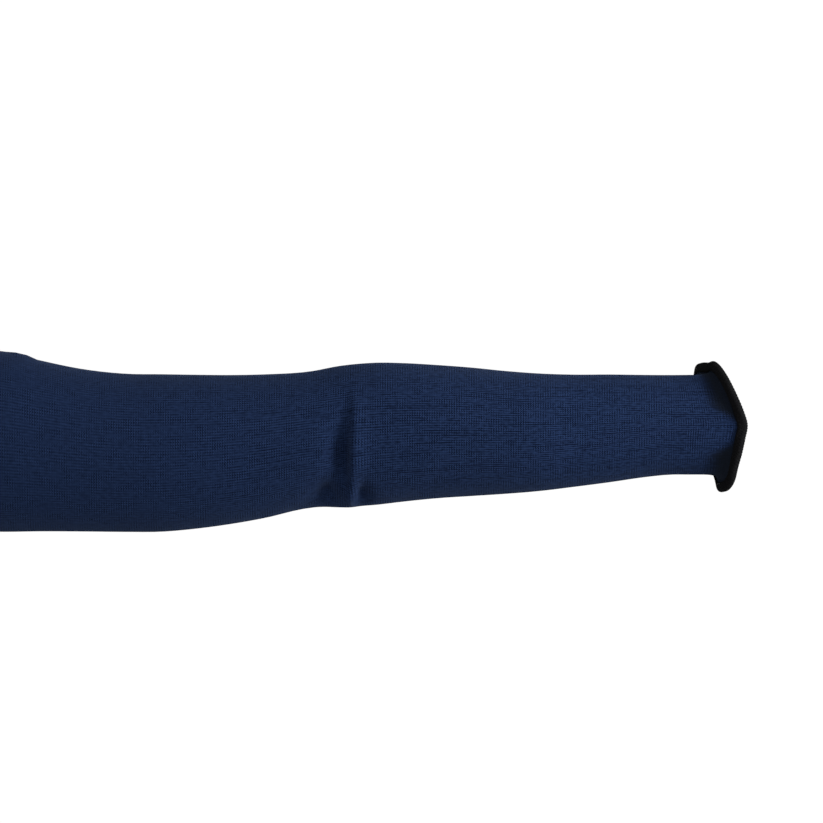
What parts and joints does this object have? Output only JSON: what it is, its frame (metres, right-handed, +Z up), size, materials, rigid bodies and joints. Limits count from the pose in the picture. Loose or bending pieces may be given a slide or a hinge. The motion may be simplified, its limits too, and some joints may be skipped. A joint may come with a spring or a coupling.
{
  "type": "cut resistant sleeve",
  "caption": "Long rib-knit arm sleeve that guards the arm from cuts, filled out as worn, creased at the elbow, with a flared edged wrist.",
  "frame": {"origin": "centre of the upper arm opening, in the plane of its rim", "axes": "+X along the sleeve from the upper arm to the wrist, +Z up, the wearer's front towards -Y"},
  "size_m": [0.56, 0.115, 0.1249],
  "materials": {
    "knit": "matt navy rib knit",
    "edging_thread": "matt black overlock thread"
  },
  "bodies": {
    "root": {"sleeve_tube": "knit", "wrist_edging": "edging_thread", "upper_edging": "edging_thread"}
  },
  "joints": []
}
